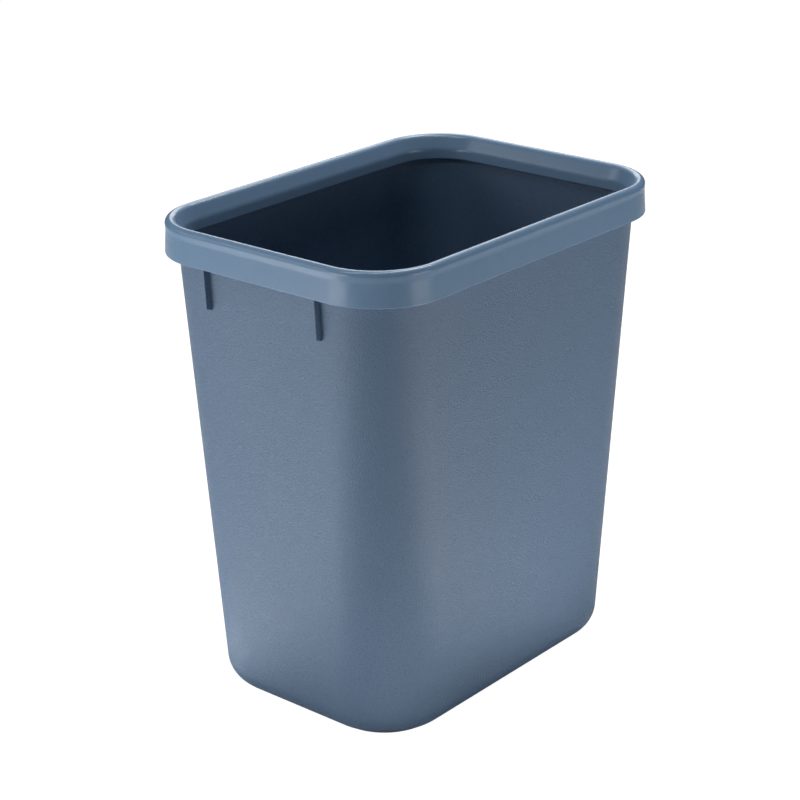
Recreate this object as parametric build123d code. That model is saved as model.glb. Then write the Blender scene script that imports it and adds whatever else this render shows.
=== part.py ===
from build123d import *

import os

# A rectangular office wastebasket with a lift-off liner ring, as two separate plastic mouldings.
# Millimetres. +Z is up and +X runs along the long sides.
# The origin is the centre of the footprint, on the floor.
#
#   bin_body    tapered bucket with rounded corners, a stepped rim, four seat ribs and a foot ring
#   liner_ring  channel-section ring that drops over the rim, seats on the ribs and clamps the liner's edge

# Overall
HEIGHT = 300.0  # floor to the top of the ring
WALL = 1.8  # wall thickness of both mouldings

# Bucket: half sizes of the outer section, extrapolated to the floor, and how they grow with height
BASE_HALF_X = 114.2
BASE_HALF_Y = 78.7
DRAFT_X = 0.0527
DRAFT_Y = 0.0431
CORNER_R = 43.4  # outer corner radius, the same at every height
BASE_R = 16.0  # rounding between the walls and the floor panel
FLOOR_T = 2.2

# Foot: a loop under the floor panel that the basket stands on
FOOT_H = 0.8
FOOT_INSET = 11.4  # from the outer face, so its edge shows under the corners
FOOT_W = 4.5

# Liner ring: offsets run inwards from the outer face at the skirt's lower edge
RING_HALF_X = 134.6
RING_HALF_Y = 96.4
RING_R = 43.2
SKIRT_Z = 279.6
WAIST_OFFSET = 0.85  # the skirt leans in to a waist, with a proud bead above it
WAIST_Z = 293.8
BEAD_OFFSET = 0.35
CROWN_OFFSET = 6.3  # the flat crown ends here and the throat slopes down
THROAT_OFFSET = 10.6
THROAT_Z = 291.3
THROAT_R = 8.0
LIP_OFFSET = 11.2
LIP_Z = 285.0
LIP_EDGE_R = 0.6
SKIRT_EDGE_R = 0.5

# Rim of the bucket: parallel to the ring, hidden inside it
RIM_OFFSET = 3.3  # from the ring's outer face
STEP_Z0 = 281.5
STEP_Z1 = 285.0
RIM_TOP = 296.6
RIM_EDGE_R = 0.6

# Seat ribs on the short sides: the ring's skirt comes down on their tops
RIB_Y = 42.0
RIB_T = 1.5
RIB_OUT = 4.2
RIB_TOP = 279.2
RIB_BOTTOM = 254.0
RIB_SLANT = 1.6  # the outer corner of the lower end sits this much higher
RIB_ROOT = 0.9  # how far a rib runs into the wall
RIB_EDGE_R = 0.3

# Underside: a gate pad with stiffening bars out to the foot
GATE_PAD_R = 11.0
GATE_R = 4.0
GATE_H = 0.3
BAR_W = 2.0
BAR_H = 0.4


def half_x(z):
    """Half length of the bucket's outer section at height z."""
    return BASE_HALF_X + DRAFT_X * z


def half_y(z):
    """Half width of the bucket's outer section at height z."""
    return BASE_HALF_Y + DRAFT_Y * z


def section(z, grow=0.0):
    """The bucket's section at height z, grown outwards by grow (inwards if negative)."""
    return Plane.XY.offset(z) * RectangleRounded(
        2 * (half_x(z) + grow), 2 * (half_y(z) + grow), CORNER_R + grow
    )


def tapered_block(z_low, z_high, grow=0.0):
    """A solid with straight tapered sides between two sections of the bucket."""
    return loft([section(z_low, grow), section(z_high, grow)], ruled=True)


def rounded_bucket(z_low, z_high, grow, radius):
    """A tapered block whose bottom edges are rounded."""
    block = tapered_block(z_low, z_high, grow)
    bottom = block.faces().sort_by(Axis.Z)[0]
    return fillet(bottom.edges(), radius)


def rim_section(z, inset=0.0):
    """The rim's section at height z: a constant offset inside the ring's outer face."""
    inwards = RIM_OFFSET + inset
    return Plane.XY.offset(z) * RectangleRounded(
        2 * (RING_HALF_X - inwards), 2 * (RING_HALF_Y - inwards), RING_R - inwards
    )


def rim_band():
    """The step out from the wall and the upright rim above it, as one hollow band."""
    outside = loft([section(STEP_Z0), rim_section(STEP_Z1)], ruled=True)
    outside += loft([rim_section(STEP_Z1), rim_section(RIM_TOP)], ruled=True)
    inside = loft([section(STEP_Z0, -WALL), rim_section(STEP_Z1, WALL)], ruled=True)
    inside += loft([rim_section(STEP_Z1, WALL), rim_section(RIM_TOP, WALL)], ruled=True)
    band = outside - inside
    top = band.faces().filter_by(Axis.Z).sort_by(Axis.Z)[-1]
    return fillet(top.edges(), RIM_EDGE_R)


def seat_rib(side, y):
    """One upright rib on the short wall at side * X, its outer edge parallel to the wall."""
    outline = Polyline(
        (half_x(RIB_TOP) - RIB_ROOT, RIB_TOP),
        (half_x(RIB_TOP) + RIB_OUT, RIB_TOP),
        (half_x(RIB_BOTTOM) + RIB_OUT, RIB_BOTTOM + RIB_SLANT),
        (half_x(RIB_BOTTOM) - RIB_ROOT, RIB_BOTTOM),
        close=True,
    )
    plate = Pos(0, y, 0) * extrude(Plane.XZ * make_face(outline), RIB_T / 2, both=True)
    outer_edge = plate.faces().sort_by(Axis.X)[-1]
    plate = fillet(outer_edge.edges(), RIB_EDGE_R)
    return plate if side > 0 else mirror(plate, Plane.YZ)


def foot_half_sizes():
    """Outer half sizes and corner radius of the foot ring."""
    return half_x(0) - FOOT_INSET, half_y(0) - FOOT_INSET, CORNER_R - FOOT_INSET


def foot_ring():
    """The raised loop under the floor panel that the basket stands on."""
    foot_x, foot_y, foot_r = foot_half_sizes()
    outer = RectangleRounded(2 * foot_x, 2 * foot_y, foot_r)
    inner = RectangleRounded(2 * (foot_x - FOOT_W), 2 * (foot_y - FOOT_W), foot_r - FOOT_W)
    return extrude(outer - inner, FOOT_H + FLOOR_T / 2)


def underside():
    """The gate pad, the gate's nub and the stiffening bars that run out to the foot ring."""
    foot_x, foot_y, _ = foot_half_sizes()
    depth = BAR_H + FLOOR_T / 2
    low = FOOT_H - BAR_H
    pad = Pos(0, 0, low) * extrude(Circle(GATE_PAD_R), depth)
    pad += Pos(0, 0, low - GATE_H) * extrude(Circle(GATE_R), depth)
    pad += Pos(0, 0, low) * extrude(Rectangle(2 * foot_x - FOOT_W, BAR_W), depth)
    pad += Pos(0, 0, low) * extrude(Rectangle(BAR_W, 2 * foot_y - FOOT_W), depth)
    return pad


def make_bin_body():
    """The bucket, its rim, ribs and foot as one moulding."""
    outer = rounded_bucket(FOOT_H, STEP_Z0, 0, BASE_R)
    inner = rounded_bucket(FOOT_H + FLOOR_T, STEP_Z0, -WALL, BASE_R - WALL)
    body = outer - inner
    body += rim_band()
    body += foot_ring()
    body += underside()
    for side in (-1, 1):
        for y in (-RIB_Y, RIB_Y):
            body += seat_rib(side, y)
    return body


def ring_profile():
    """Closed section of the liner ring: X is the offset inwards, Y is the height."""
    under_crown = HEIGHT - WALL
    corners = (
        (0, SKIRT_Z, SKIRT_EDGE_R),
        (WAIST_OFFSET, WAIST_Z, 12.0),
        (BEAD_OFFSET, HEIGHT, 3.2),
        (CROWN_OFFSET, HEIGHT, 3.6),
        (THROAT_OFFSET, THROAT_Z, THROAT_R),
        (LIP_OFFSET, LIP_Z, LIP_EDGE_R),
        (LIP_OFFSET - WALL, LIP_Z, LIP_EDGE_R),
        (THROAT_OFFSET - WALL, THROAT_Z - 0.4, THROAT_R - WALL),
        (CROWN_OFFSET - 1.1, under_crown, 1.8),
        (BEAD_OFFSET + WALL + 0.1, under_crown, 1.4),
        (WAIST_OFFSET + WALL, WAIST_Z, 12.0),
        (WALL, SKIRT_Z, SKIRT_EDGE_R),
    )
    points = [(x, y) for x, y, _ in corners]
    radii = [radius for _, _, radius in corners]
    return make_face(FilletPolyline(*points, radius=radii, close=True))


def ring_straight(half_length, half_reach):
    """One straight side of the ring: it runs along X and faces -Y."""
    plane = Plane(origin=(-half_length, -half_reach, 0), x_dir=(0, 1, 0), z_dir=(1, 0, 0))
    return extrude(plane * ring_profile(), 2 * half_length)


def ring_corner():
    """A quarter turn of the ring's section about the corner's centre, from -Y round to -X."""
    plane = Plane(origin=(0, -RING_R, 0), x_dir=(0, 1, 0), z_dir=(1, 0, 0))
    return revolve(plane * ring_profile(), Axis.Z, -90)


def make_liner_ring():
    """The ring's channel section, carried round a rounded rectangle."""
    straight_x = RING_HALF_X - RING_R
    straight_y = RING_HALF_Y - RING_R
    long_side = ring_straight(straight_x, RING_HALF_Y)
    short_side = Rot(0, 0, -90) * ring_straight(straight_y, RING_HALF_X)
    corner = ring_corner()
    corners = (
        Pos(-straight_x, -straight_y, 0) * corner,
        Pos(-straight_x, straight_y, 0) * Rot(0, 0, -90) * corner,
        Pos(straight_x, straight_y, 0) * Rot(0, 0, 180) * corner,
        Pos(straight_x, -straight_y, 0) * Rot(0, 0, 90) * corner,
    )
    ring = long_side + short_side
    ring += Rot(0, 0, 180) * long_side
    ring += Rot(0, 0, 180) * short_side
    for piece in corners:
        ring += piece
    return ring


if __name__ == "__main__":
    os.makedirs("parts", exist_ok=True)
    export_step(make_bin_body(), "parts/bin_body.step")
    export_step(make_liner_ring(), "parts/liner_ring.step")
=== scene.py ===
"""Looks for the rectangular wastebasket with its liner ring. Metres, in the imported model's frame.

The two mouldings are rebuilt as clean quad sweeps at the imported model's sizes, so that their curves stay
smooth in close views. The floor and the lights are the studio round them.
"""

import math

import bpy
from mathutils import Matrix, Vector


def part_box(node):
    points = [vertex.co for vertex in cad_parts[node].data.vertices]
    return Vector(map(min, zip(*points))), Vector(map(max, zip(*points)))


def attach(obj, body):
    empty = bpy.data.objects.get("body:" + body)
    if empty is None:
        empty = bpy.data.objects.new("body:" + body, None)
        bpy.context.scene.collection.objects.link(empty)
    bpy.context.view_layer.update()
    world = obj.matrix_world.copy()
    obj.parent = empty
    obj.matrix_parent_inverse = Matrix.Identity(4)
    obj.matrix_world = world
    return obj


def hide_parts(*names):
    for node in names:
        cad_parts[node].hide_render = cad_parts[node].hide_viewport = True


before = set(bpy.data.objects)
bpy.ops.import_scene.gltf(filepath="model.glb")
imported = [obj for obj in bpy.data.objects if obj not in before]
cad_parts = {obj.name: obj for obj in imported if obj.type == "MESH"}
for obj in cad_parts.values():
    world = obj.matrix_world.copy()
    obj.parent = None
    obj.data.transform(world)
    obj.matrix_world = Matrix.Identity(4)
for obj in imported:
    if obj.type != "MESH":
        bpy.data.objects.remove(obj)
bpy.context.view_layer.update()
RING_LOW, RING_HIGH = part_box("liner_ring")
BODY_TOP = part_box("bin_body")[1].z
MM = 0.001

# Sizes in millimetres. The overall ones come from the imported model, and the rest are its profile's own.
HEIGHT = RING_HIGH.z / MM
WALL = 1.8
RING_HALF_X = RING_HIGH.x / MM
RING_HALF_Y = RING_HIGH.y / MM
SKIRT_Z = RING_LOW.z / MM
RIM_TOP = BODY_TOP / MM

BASE_HALF_X = 114.2
BASE_HALF_Y = 78.7
DRAFT_X = 0.0527
DRAFT_Y = 0.0431
CORNER_R = 43.4
BASE_R = 16.0
FLOOR_T = 2.2
FOOT_H = 0.8
FOOT_INSET = 11.4
FOOT_W = 4.5
FOOT_EDGE_R = 0.2
GATE_PAD_R = 11.0
GATE_R = 4.0
GATE_H = 0.3
BAR_W = 2.0
BAR_H = 0.4
BAR_CORNER_R = 0.4
UNDERSIDE_EDGE = 0.1
UNDERSIDE_SINK = 0.1
RING_R = 43.2
RIM_OFFSET = 3.3
RIM_EDGE_R = 0.6
STEP_Z0 = 281.5
STEP_Z1 = 285.0

RIB_Y = 42.0
RIB_T = 1.5
RIB_OUT = 4.2
RIB_TOP = 279.2
RIB_BOTTOM = 254.0
RIB_SLANT = 1.6
RIB_FLARE = 0.15
RIB_SINK = 0.8
RIB_TIP_R = 0.38
RIB_EDGE = 0.16

CORNER_STEPS = 36
DISC_STEPS = 72
RIB_TIP_STEPS = 6
LONG_STEPS = 24
SHORT_STEPS = 16
SUPPORT = 0.12  # distance of the loops that hold a flat face flat beside a small rounding
WALL_START = 1.0  # where the wall's straight loops start, above the rounding
WALL_STOP = 1.5  # where they stop, below the step to the rim
STEP_HOLD = 0.2  # distance of the loop that holds the wall straight below the step
RIM_HOLD = 0.4  # and of the one that holds the rim upright above it
RIM_DEPTH = 4.0  # how far the rim's top profile reaches down
FLOOR_HOLD = 0.3  # distance of the loop that holds the floor flat inside the rounding
PANEL_RUN = 4.0  # distance of the floor's innermost loop from the rounding
FOOT_RUN = 6.0  # distance of the underside's innermost loop from the foot
FOOT_SUPPORT = 0.05  # SUPPORT for the foot's small edges


def rounded_loop(half_x, half_y, radius, z):
    """Points of a rounded rectangle, anticlockwise seen from above, from the start of the +X +Y corner."""
    points = []
    centres = (
        (half_x - radius, half_y - radius, 0),
        (radius - half_x, half_y - radius, 90),
        (radius - half_x, radius - half_y, 180),
        (half_x - radius, radius - half_y, 270),
    )
    runs = (LONG_STEPS, SHORT_STEPS, LONG_STEPS, SHORT_STEPS)
    for index, (cx, cy, start) in enumerate(centres):
        for step in range(CORNER_STEPS + 1):
            angle = math.radians(start + 90 * step / CORNER_STEPS)
            points.append(Vector((cx + radius * math.cos(angle), cy + radius * math.sin(angle), z)))
        nx, ny, nstart = centres[(index + 1) % 4]
        angle = math.radians(nstart)
        end = Vector((nx + radius * math.cos(angle), ny + radius * math.sin(angle), z))
        begin = points[-1]
        for step in range(1, runs[index]):
            points.append(begin.lerp(end, step / runs[index]))
    return points


def mesh_object(name, points, faces):
    """A smooth-shaded mesh object from points in millimetres."""
    mesh = bpy.data.meshes.new(name)
    mesh.from_pydata([p * MM for p in points], [], faces)
    mesh.validate()
    mesh.polygons.foreach_set("use_smooth", [True] * len(mesh.polygons))
    mesh.update()
    piece = bpy.data.objects.new(name, mesh)
    bpy.context.scene.collection.objects.link(piece)
    return piece


def sweep(name, loops, closed):
    """A skin over loops of equal length. A closed one joins last to first, and an open one is capped."""
    count = len(loops[0])
    points = [p for loop in loops for p in loop]
    faces = []
    last = len(loops) if closed else len(loops) - 1
    for row in range(last):
        a, b = row * count, ((row + 1) % len(loops)) * count
        for k in range(count):
            n = (k + 1) % count
            faces.append((a + k, a + n, b + n, b + k))
    if not closed:
        faces.append(tuple(reversed(range(count))))
        faces.append(tuple(range((len(loops) - 1) * count, len(loops) * count)))
    return mesh_object(name, points, faces)


def round_path(corners, steps=8, support=SUPPORT, closed=True):
    """A polyline with its corners rounded, from (x, y, radius). Points that hold the flats are added."""
    path = []
    count = len(corners)
    for index, (x, y, radius) in enumerate(corners):
        here = Vector((x, y))
        if not closed and index in (0, count - 1):
            path.append(here)
            continue
        before = Vector(corners[index - 1][:2]) - here
        after = Vector(corners[(index + 1) % count][:2]) - here
        before.normalize()
        after.normalize()
        turn = math.pi - before.angle(after)
        reach = radius * math.tan(turn / 2)
        centre = here + (before + after).normalized() * (radius / math.cos(turn / 2))
        start = here + before * reach
        end = here + after * reach
        path.append(start + before * support)
        parts = max(2, round(steps * turn / (math.pi / 2)) + 1)
        arm_a, arm_b = start - centre, end - centre
        sweep_angle = arm_a.angle_signed(arm_b)
        for part in range(parts + 1):
            angle = -sweep_angle * part / parts
            arm = Matrix.Rotation(angle, 2) @ arm_a
            path.append(centre + arm)
        path.append(end + after * support)
    return path


# ---------------------------------------------------------------- the bucket


def half_x(z):
    """Half length of the bucket's outer section at height z."""
    return BASE_HALF_X + DRAFT_X * z


def half_y(z):
    """Half width of the bucket's outer section at height z."""
    return BASE_HALF_Y + DRAFT_Y * z


def wall_loop(z, inset):
    """The bucket's section at height z, moved inwards by inset."""
    return rounded_loop(half_x(z) - inset, half_y(z) - inset, CORNER_R - inset, z)


def rim_loop(z, inset):
    """A section of the rim, parallel to the ring."""
    inwards = RIM_OFFSET + inset
    return rounded_loop(RING_HALF_X - inwards, RING_HALF_Y - inwards, RING_R - inwards, z)


def base_rounding(floor_z, radius, skin, steps=14):
    """Loops of the rounding between a wall and the floor, from the wall down. skin is the wall's inset."""
    draft = math.atan((DRAFT_X + DRAFT_Y) / 2)
    reach = radius * math.tan(math.pi / 4 - draft / 2)
    loops = []
    for step in range(steps + 1):
        angle = draft + (math.pi / 2 - draft) * step / steps
        rise = radius - radius * math.sin(angle)
        inset = rise * math.tan(draft) + reach - radius * math.cos(angle)
        loops.append(wall_loop(floor_z + rise, skin + inset))
    return loops


def straight_walls(low, high, skin, steps=12):
    """Loops up the straight part of the wall."""
    return [wall_loop(low + (high - low) * k / steps, skin) for k in range(steps + 1)]


def make_body():
    """The bucket as one skin, from the underside up the outside, over the rim and down the inside."""
    panel = half_x(0) - FOOT_INSET, half_y(0) - FOOT_INSET, CORNER_R - FOOT_INSET

    def foot_loop(inset, z):
        return rounded_loop(panel[0] - inset, panel[1] - inset, panel[2] - inset, z)

    foot_path = round_path(
        (
            (FOOT_W + FOOT_RUN, FOOT_H, 0),
            (FOOT_W, FOOT_H, FOOT_EDGE_R),
            (FOOT_W, 0, FOOT_EDGE_R),
            (0, 0, FOOT_EDGE_R),
            (0, FOOT_H + FOOT_SUPPORT, 0),
        ),
        steps=4,
        support=FOOT_SUPPORT,
        closed=False,
    )
    loops = [foot_loop(p.x, p.y) for p in foot_path]
    outer_rounding = base_rounding(FOOT_H, BASE_R, 0)
    loops += [loop for loop in reversed(outer_rounding) if loop[0].z > FOOT_H + FOOT_EDGE_R]
    loops += straight_walls(FOOT_H + BASE_R + WALL_START, STEP_Z0 - WALL_STOP, 0)
    loops.append(wall_loop(STEP_Z0 - STEP_HOLD, 0))
    loops.append(wall_loop(STEP_Z0, 0))
    loops.append(rim_loop(STEP_Z1, 0))
    loops.append(rim_loop(STEP_Z1 + RIM_HOLD, 0))
    top = round_path(
        (
            (0, RIM_TOP - RIM_DEPTH, 0),
            (0, RIM_TOP, RIM_EDGE_R),
            (WALL, RIM_TOP, RIM_EDGE_R),
            (WALL, RIM_TOP - RIM_DEPTH, 0),
        ),
        closed=False,
    )
    loops += [rim_loop(p.y, p.x) for p in top]
    loops.append(rim_loop(STEP_Z1 + RIM_HOLD, WALL))
    loops.append(rim_loop(STEP_Z1, WALL))
    loops.append(wall_loop(STEP_Z0, WALL))
    loops.append(wall_loop(STEP_Z0 - STEP_HOLD, WALL))
    inside_floor = FOOT_H + FLOOR_T
    inside_r = BASE_R - WALL
    inside_walls = straight_walls(inside_floor + inside_r + WALL_START, STEP_Z0 - WALL_STOP, WALL)
    loops += reversed(inside_walls)
    loops += base_rounding(inside_floor, inside_r, WALL)
    for inwards in (BASE_R + FLOOR_HOLD, BASE_R + PANEL_RUN):
        loops.append(wall_loop(inside_floor, inwards))
    return sweep("bucket", loops, closed=False)


def make_rib(side, y):
    """A seat rib with a flared root, sunk a little into the wall."""
    half = RIB_T / 2
    outline = [
        (-RIB_SINK, half + RIB_FLARE),
        (0.0, half + RIB_FLARE),
        (0.03, half + 0.08),
        (0.08, half + 0.03),
        (RIB_FLARE, half),
        (RIB_OUT - RIB_TIP_R - 0.1, half),
    ]
    tip_x = RIB_OUT - RIB_TIP_R
    tip_w = half - RIB_TIP_R
    for step in range(RIB_TIP_STEPS + 1):
        angle = math.pi / 2 * (1 - step / RIB_TIP_STEPS)
        outline.append((tip_x + RIB_TIP_R * math.cos(angle), tip_w + RIB_TIP_R * math.sin(angle)))
    outline += [(x, -w) for x, w in reversed(outline)]
    levels = [0.0, 0.004, 0.02] + [0.1 * k for k in range(1, 10)] + [0.98, 0.996, 1.0]
    loops = []
    for level in levels:
        shrink = RIB_EDGE if level in (0.0, 1.0) else 0.0
        loop = []
        for out, width in outline:
            low = RIB_BOTTOM + RIB_SLANT * max(out, 0) / RIB_OUT
            z = low + (RIB_TOP - low) * level
            narrow = width - math.copysign(min(shrink, abs(width)), width)
            reach = out - (shrink if out > RIB_OUT - 1 else 0)
            loop.append(Vector((side * (half_x(z) + reach), y + narrow, z)))
        loops.append(loop)
    if side > 0:
        loops = [list(reversed(loop)) for loop in loops]
    where = "right" if side > 0 else "left"
    depth = "back" if y > 0 else "front"
    return sweep(f"seat_rib_{where}_{depth}", loops, closed=False)


def slab(name, outlines):
    """A low piece under the floor panel, from its loops, bottom first."""
    piece = sweep(name, outlines, closed=False)
    piece.data.materials.append(GRAINED)
    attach(piece, "bin")


def disc_loop(radius, z):
    """Points of a circle, anticlockwise seen from above."""
    turns = [2 * math.pi * step / DISC_STEPS for step in range(DISC_STEPS)]
    return [Vector((radius * math.cos(turn), radius * math.sin(turn), z)) for turn in turns]


def make_underside():
    """The gate pad with its nub and the stiffening bars that run out to the foot."""
    top = FOOT_H + UNDERSIDE_SINK
    low = FOOT_H - BAR_H
    edge = UNDERSIDE_EDGE
    for name, radius, base in (("gate_pad", GATE_PAD_R, low), ("gate_nub", GATE_R, low - GATE_H)):
        slab(name, [disc_loop(radius - edge, base), disc_loop(radius, base + edge), disc_loop(radius, top)])
    long_half = half_x(0) - FOOT_INSET - FOOT_W / 2
    short_half = half_y(0) - FOOT_INSET - FOOT_W / 2
    across = BAR_W / 2
    for name, reach_x, reach_y in (("bar_long", long_half, across), ("bar_short", across, short_half)):
        loops = []
        for trim, z in ((edge, low), (0, low + edge), (0, top)):
            loops.append(rounded_loop(reach_x - trim, reach_y - trim, BAR_CORNER_R, z))
        slab(name, loops)


# ---------------------------------------------------------------- the liner ring

# The channel's outline as (inset from the widest point, height, corner radius), from the skirt's outer foot.
RING_CORNERS = (
    (0, SKIRT_Z, 0.5),
    (0.85, 293.8, 12.0),
    (0.35, HEIGHT, 3.2),
    (6.3, HEIGHT, 3.6),
    (10.6, 291.3, 8.0),
    (11.2, 285.0, 0.6),
    (9.4, 285.0, 0.6),
    (8.8, 290.9, 6.2),
    (5.2, HEIGHT - WALL, 1.8),
    (2.25, HEIGHT - WALL, 1.4),
    (2.65, 293.8, 12.0),
    (1.8, SKIRT_Z, 0.5),
)


def make_ring():
    """The channel's outline carried round a rounded rectangle."""
    path = round_path(RING_CORNERS, steps=12)
    loops = [rounded_loop(RING_HALF_X - p.x, RING_HALF_Y - p.x, RING_R - p.x, p.y) for p in path]
    return sweep("clamp_ring", loops, closed=True)


# ---------------------------------------------------------------- materials

DRIFT_SCALE = 9.0
DRIFT_SHARE = 0.5
PEBBLE_LOW = 0.3
PEBBLE_HIGH = 0.7
PLASTIC_IOR = 1.49


def new_material(name):
    """A material with its node tree and its Principled shader."""
    material = bpy.data.materials.new(name)
    material.use_nodes = True
    tree = material.node_tree
    shader = tree.nodes["Principled BSDF"]
    return material, tree, shader


def node(tree, kind, **values):
    """A new node with some of its inputs, or else its settings, given by name."""
    made = tree.nodes.new(kind)
    for key, value in values.items():
        if key in made.inputs:
            made.inputs[key].default_value = value
        else:
            setattr(made, key.lower(), value)
    return made


def plastic(name, colour, dark_drift_and_pit_shade, rough_low, rough_high, grain, height):
    """Moulded polypropylene: slight colour drift, and a grain in the normal, the roughness and the tone. The
    grain's tone is painted shade in its pits and painted glints on its bumps.
    """
    material, tree, shader = new_material(name)
    link = tree.links.new
    place = tree.nodes.new("ShaderNodeTexCoord")
    drift = node(tree, "ShaderNodeTexNoise", Scale=DRIFT_SCALE, Detail=3.0)
    link(place.outputs["Object"], drift.inputs["Vector"])
    fine = node(tree, "ShaderNodeTexNoise", Scale=grain, Detail=1.0)
    link(place.outputs["Object"], fine.inputs["Vector"])
    pebble = tree.nodes.new("ShaderNodeMapRange")
    pebble.inputs["From Min"].default_value = PEBBLE_LOW
    pebble.inputs["From Max"].default_value = PEBBLE_HIGH
    link(fine.outputs["Fac"], pebble.inputs["Value"])
    # Mix factor: the random colour drift plus the grain, whose part darkens the pits as painted shade and
    # lightens the bumps as painted glints.
    drift_and_grain_shade_glint_mask = node(tree, "ShaderNodeMath", Operation="MULTIPLY_ADD")
    drift_and_grain_shade_glint_mask.inputs[1].default_value = DRIFT_SHARE
    link(drift.outputs["Fac"], drift_and_grain_shade_glint_mask.inputs[0])
    link(pebble.outputs["Result"], drift_and_grain_shade_glint_mask.inputs[2])
    drift_and_grain_shade_glint = tree.nodes.new("ShaderNodeMix")
    drift_and_grain_shade_glint.data_type = "RGBA"
    drift_and_grain_shade_glint.inputs[6].default_value = (*dark_drift_and_pit_shade, 1)
    drift_and_grain_shade_glint.inputs[7].default_value = (*colour, 1)
    link(drift_and_grain_shade_glint_mask.outputs[0], drift_and_grain_shade_glint.inputs["Factor"])
    link(drift_and_grain_shade_glint.outputs[2], shader.inputs["Base Color"])
    spread = tree.nodes.new("ShaderNodeMapRange")
    spread.inputs["To Min"].default_value = rough_high
    spread.inputs["To Max"].default_value = rough_low
    link(pebble.outputs["Result"], spread.inputs["Value"])
    link(spread.outputs["Result"], shader.inputs["Roughness"])
    bump = node(tree, "ShaderNodeBump", Strength=1.0, Distance=height)
    link(pebble.outputs["Result"], bump.inputs["Height"])
    link(bump.outputs["Normal"], shader.inputs["Normal"])
    shader.inputs["IOR"].default_value = PLASTIC_IOR
    return material


# Between colour and the darker colour lie the random drift and the grain's painted shade in its pits and
# painted glints on its bumps.
GRAINED = plastic(
    "grained_polypropylene",
    colour=(0.117, 0.192, 0.303),
    dark_drift_and_pit_shade=(0.084, 0.139, 0.222),
    rough_low=0.36,
    rough_high=0.52,
    grain=1350.0,
    height=0.00018,
)
SMOOTH = plastic(
    "smooth_polypropylene",
    colour=(0.175, 0.288, 0.438),
    dark_drift_and_pit_shade=(0.169, 0.278, 0.423),
    rough_low=0.20,
    rough_high=0.24,
    grain=160.0,
    height=0.00001,
)

# ---------------------------------------------------------------- the camera

CAMERA_AT = Vector((-0.9645, -0.8113, 0.6649))
CAMERA_AZIMUTH = -139.569
CAMERA_RISE = 21.44
CAMERA_ROLL = -0.755
LENS = 99.42
SENSOR = 36.0


def make_camera():
    """The camera, looking back along the azimuth and the rise that it stands at."""
    data = bpy.data.cameras.new("camera")
    data.lens = LENS
    data.sensor_width = SENSOR
    camera = bpy.data.objects.new("camera", data)
    bpy.context.scene.collection.objects.link(camera)
    azimuth, rise = math.radians(CAMERA_AZIMUTH), math.radians(CAMERA_RISE)
    flat = math.cos(rise)
    back = Vector((flat * math.cos(azimuth), flat * math.sin(azimuth), math.sin(rise)))
    turn = back.to_track_quat("Z", "Y").to_matrix().to_4x4()
    roll = Matrix.Rotation(math.radians(CAMERA_ROLL), 4, "Z")
    camera.matrix_world = Matrix.Translation(CAMERA_AT) @ turn @ roll
    bpy.context.scene.camera = camera


make_camera()

# ---------------------------------------------------------------- build

bucket = make_body()
bucket.data.materials.append(GRAINED)
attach(bucket, "bin")
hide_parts("bin_body")
for rib_side in (-1, 1):
    for rib_y in (-RIB_Y, RIB_Y):
        rib = make_rib(rib_side, rib_y)
        rib.data.materials.append(GRAINED)
        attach(rib, "bin")

make_underside()

ring = make_ring()
ring.data.materials.append(SMOOTH)
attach(ring, "ring")
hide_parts("liner_ring")

# ---------------------------------------------------------------- the studio

FLOOR_HALF = 6.0
FLOOR_ROUGHNESS = 0.9
BOUNCE_DROP = 0.0005  # how far the bouncing floor lies below the one that shows
CARD_Z = 0.0006
VIEW_AZIMUTH = -140
REACH = 1.5  # how far the softboxes stand from the dome's middle
DOME_Z = 0.25

# Each softbox: its left and right angle from the camera's side, its low and high rise, and its strength.
SOFTBOXES = (
    ("softbox_back_top", 135, 165, 50, 75, 12.7),
    ("softbox_back_side", 135, 165, 30, 50, 0.85),
    ("softbox_back", 165, 195, 15, 30, 3.2),
    ("softbox_back_up", 165, 195, 30, 50, 1.9),
    ("softbox_left", -72, -44, 0, 15, 3.8),
    ("softbox_left_high", -75, -45, 50, 75, 4.1),
    ("softbox_left_rear", -105, -75, 15, 30, 1.8),
    ("softbox_right", 45, 75, 0, 15, 2.7),
)
# Each overhead softbox: the rise of its edge, the step between its corners, and its strength.
OVERHEADS = (
    ("softbox_top", 75, 30, 2.15),
    ("softbox_overhead", 84, 90, 9.0),
)
# Each card on the floor: its left and right angle, its near and far distance in metres, and its strength.
FLOOR_CARDS = (
    ("card_left", -83, -54, 0.15, 1.1, 2.1),
    ("card_front_left", -45, -15, 0.16, 0.4, 0.45),
    ("card_front", -15, 15, 0.15, 0.3, 1.0),
    ("card_front_right", 15, 45, 0.15, 0.3, 0.6),
    ("card_right", 47, 78, 0.14, 0.5, 2.5),
)


def stage_plane(name, corners, material):
    """A flat stage piece from corners in metres."""
    plane = mesh_object(name, [Vector(c) / MM for c in corners], [tuple(range(len(corners)))])
    plane.data.materials.append(material)
    return plane


def floor_material(name, albedo, glow):
    """A matt white that also glows with the strength given."""
    material, tree, shader = new_material(name)
    shader.inputs["Base Color"].default_value = (albedo, albedo, albedo, 1)
    shader.inputs["Roughness"].default_value = FLOOR_ROUGHNESS
    shader.inputs["Emission Color"].default_value = (1, 1, 1, 1)
    shader.inputs["Emission Strength"].default_value = glow
    return material


def make_floor():
    """The pale floor the camera sees, and under it the one that bounces light on to the object."""
    half = FLOOR_HALF
    square = ((-half, -half), (half, -half), (half, half), (-half, half))
    white = floor_material("floor_white", albedo=0.15, glow=1.0)
    shown = stage_plane("floor", [(x, y, 0) for x, y in square], white)
    shown.visible_diffuse = False
    shown.visible_glossy = False
    shown.visible_shadow = False
    matt = floor_material("bounce_white", albedo=0.85, glow=0.02)
    bounce = stage_plane("floor_bounce", [(x, y, -BOUNCE_DROP) for x, y in square], matt)
    bounce.visible_camera = False


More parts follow.
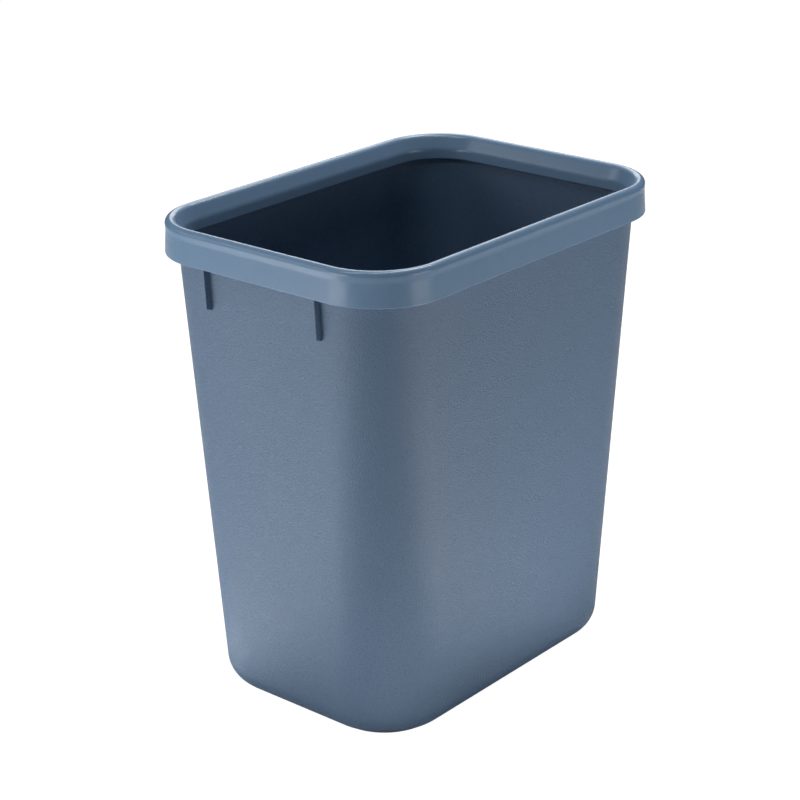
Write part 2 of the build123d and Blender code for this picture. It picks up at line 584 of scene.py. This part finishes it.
def glow_material(name, strength):
    """Emission on the front only, and clear to all other light."""
    material = bpy.data.materials.new(name)
    material.use_nodes = True
    tree = material.node_tree
    tree.nodes.clear()
    side = tree.nodes.new("ShaderNodeNewGeometry")
    glow = node(tree, "ShaderNodeEmission", Strength=strength)
    front = tree.nodes.new("ShaderNodeMixShader")
    clear = tree.nodes.new("ShaderNodeBsdfTransparent")
    both = tree.nodes.new("ShaderNodeAddShader")
    out = tree.nodes.new("ShaderNodeOutputMaterial")
    tree.links.new(side.outputs["Backfacing"], front.inputs[0])
    tree.links.new(glow.outputs[0], front.inputs[1])
    tree.links.new(front.outputs[0], both.inputs[0])
    tree.links.new(clear.outputs[0], both.inputs[1])
    tree.links.new(both.outputs[0], out.inputs[0])
    return material


def softbox(name, corners, strength):
    """A soft panel that lights the object and shows in its gloss, but not to the camera."""
    centre = sum((Vector(c) for c in corners), Vector()) / len(corners)
    normal = (Vector(corners[1]) - Vector(corners[0])).cross(Vector(corners[2]) - Vector(corners[1]))
    if normal.dot(Vector((0, 0, DOME_Z)) - centre) < 0:
        corners = list(reversed(corners))
    panel = stage_plane(name, corners, glow_material(name + "_glow", strength))
    panel.visible_camera = False
    panel.visible_shadow = False


def around(angle, rise, reach=REACH):
    """A point on the dome of lights: degrees from the camera's side and degrees up. Rise 0 is the floor."""
    turn, lift = math.radians(VIEW_AZIMUTH + angle), math.radians(rise)
    flat = reach * math.cos(lift)
    height = DOME_Z + reach * math.sin(lift) if rise else 0.0
    return (flat * math.cos(turn), flat * math.sin(turn), height)


def dome_box(name, left, right, low, high, strength):
    """A softbox on the dome, between two angles and two rises."""
    softbox(name, [around(left, low), around(right, low), around(right, high), around(left, high)], strength)


def floor_card(name, left, right, near, far, strength):
    """A white card that lies on the floor beside the object."""
    corners = []
    for angle, reach in ((left, near), (right, near), (right, far), (left, far)):
        x, y, _ = around(angle, 0, reach)
        corners.append((x, y, CARD_Z))
    softbox(name, corners, strength)


make_floor()
for box in SOFTBOXES:
    dome_box(*box)
for name, rise, step, strength in OVERHEADS:
    softbox(name, [around(angle, rise) for angle in range(0, 360, step)], strength)
for card in FLOOR_CARDS:
    floor_card(*card)

world = bpy.data.worlds.new("studio")
world.use_nodes = True
backdrop = world.node_tree.nodes["Background"]
backdrop.inputs["Color"].default_value = (1, 1, 1, 1)
backdrop.inputs["Strength"].default_value = 0.0
bpy.context.scene.world = world
bpy.context.scene.view_settings.view_transform = "Standard"
